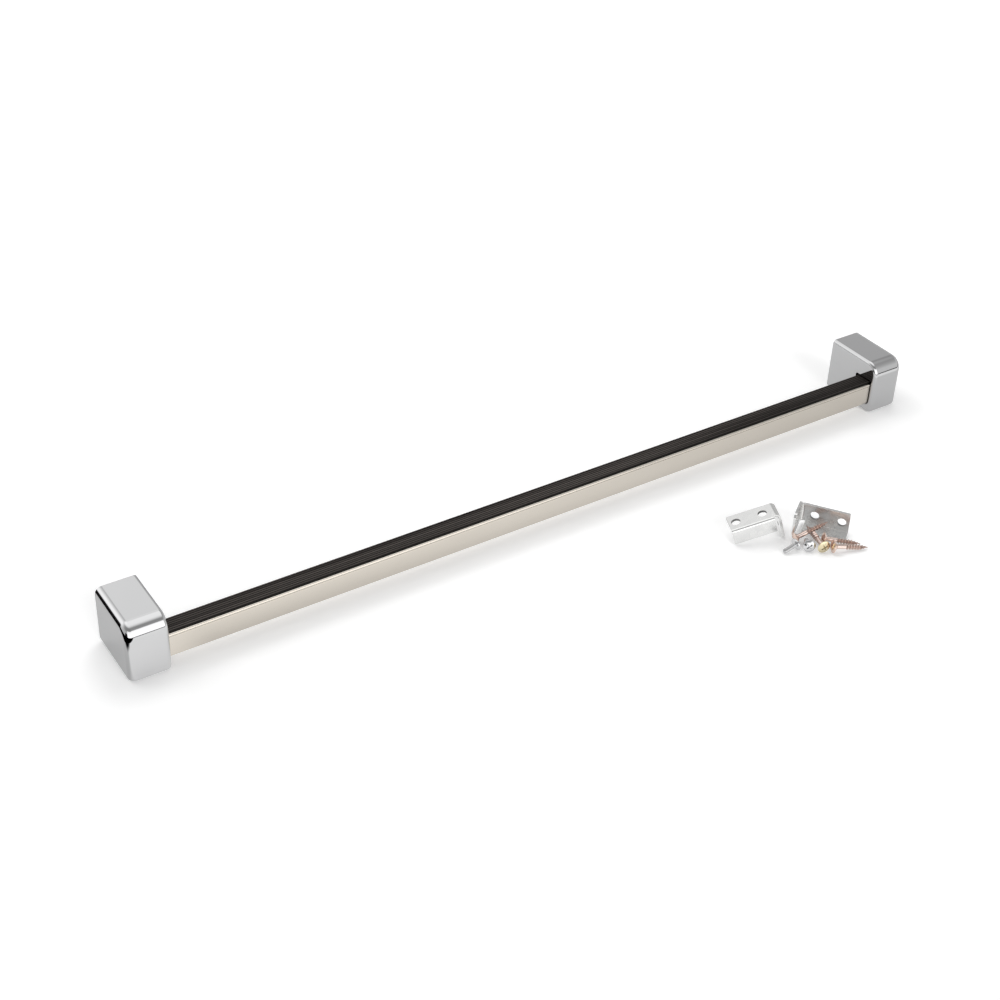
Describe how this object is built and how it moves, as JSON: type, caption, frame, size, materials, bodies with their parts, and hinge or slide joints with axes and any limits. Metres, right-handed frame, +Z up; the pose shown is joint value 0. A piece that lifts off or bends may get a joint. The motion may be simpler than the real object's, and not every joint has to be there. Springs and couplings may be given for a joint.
{
  "type": "tie rack",
  "caption": "Wall-mounted tie rail with a ribbed grip strip on top, chrome end blocks that pull off the rail ends, and its loose wall brackets and screws.",
  "frame": {"origin": "centre of the whole set's box, at the height of the surface that it stands on", "axes": "+X along the rail, +Y from the rail's front to the wall, +Z up"},
  "size_m": [0.5, 0.1386, 0.033],
  "materials": {
    "rail_nickel": "bright nickel-look polish",
    "grip_rubber": "matt black, ribbed",
    "block_chrome": "polished chrome plating",
    "bracket_zinc": "bright zinc plating",
    "wood_screw_copper": "copper-coloured plating",
    "machine_screw_steel": "bright zinc plating"
  },
  "bodies": {
    "rack": {"rail_profile": "rail_nickel", "grip_strip": "grip_rubber", "wall_bracket_1": "bracket_zinc", "wall_bracket_2": "bracket_zinc", "wood_screw_1": "wood_screw_copper", "wood_screw_2": "wood_screw_copper", "wood_screw_3": "wood_screw_copper", "wood_screw_4": "wood_screw_copper", "machine_screw_1": "machine_screw_steel", "machine_screw_2": "machine_screw_steel"},
    "left_end": {"left_end_block": "block_chrome"},
    "right_end": {"right_end_block": "block_chrome"}
  },
  "joints": [
    {"name": "left_end_pull", "type": "slide", "parent": "rack", "child": "left_end", "axis": [-1, 0, 0], "range_m": [0, 0.0175]},
    {"name": "right_end_pull", "type": "slide", "parent": "rack", "child": "right_end", "axis": [1, 0, 0], "range_m": [0, 0.0175]}
  ]
}
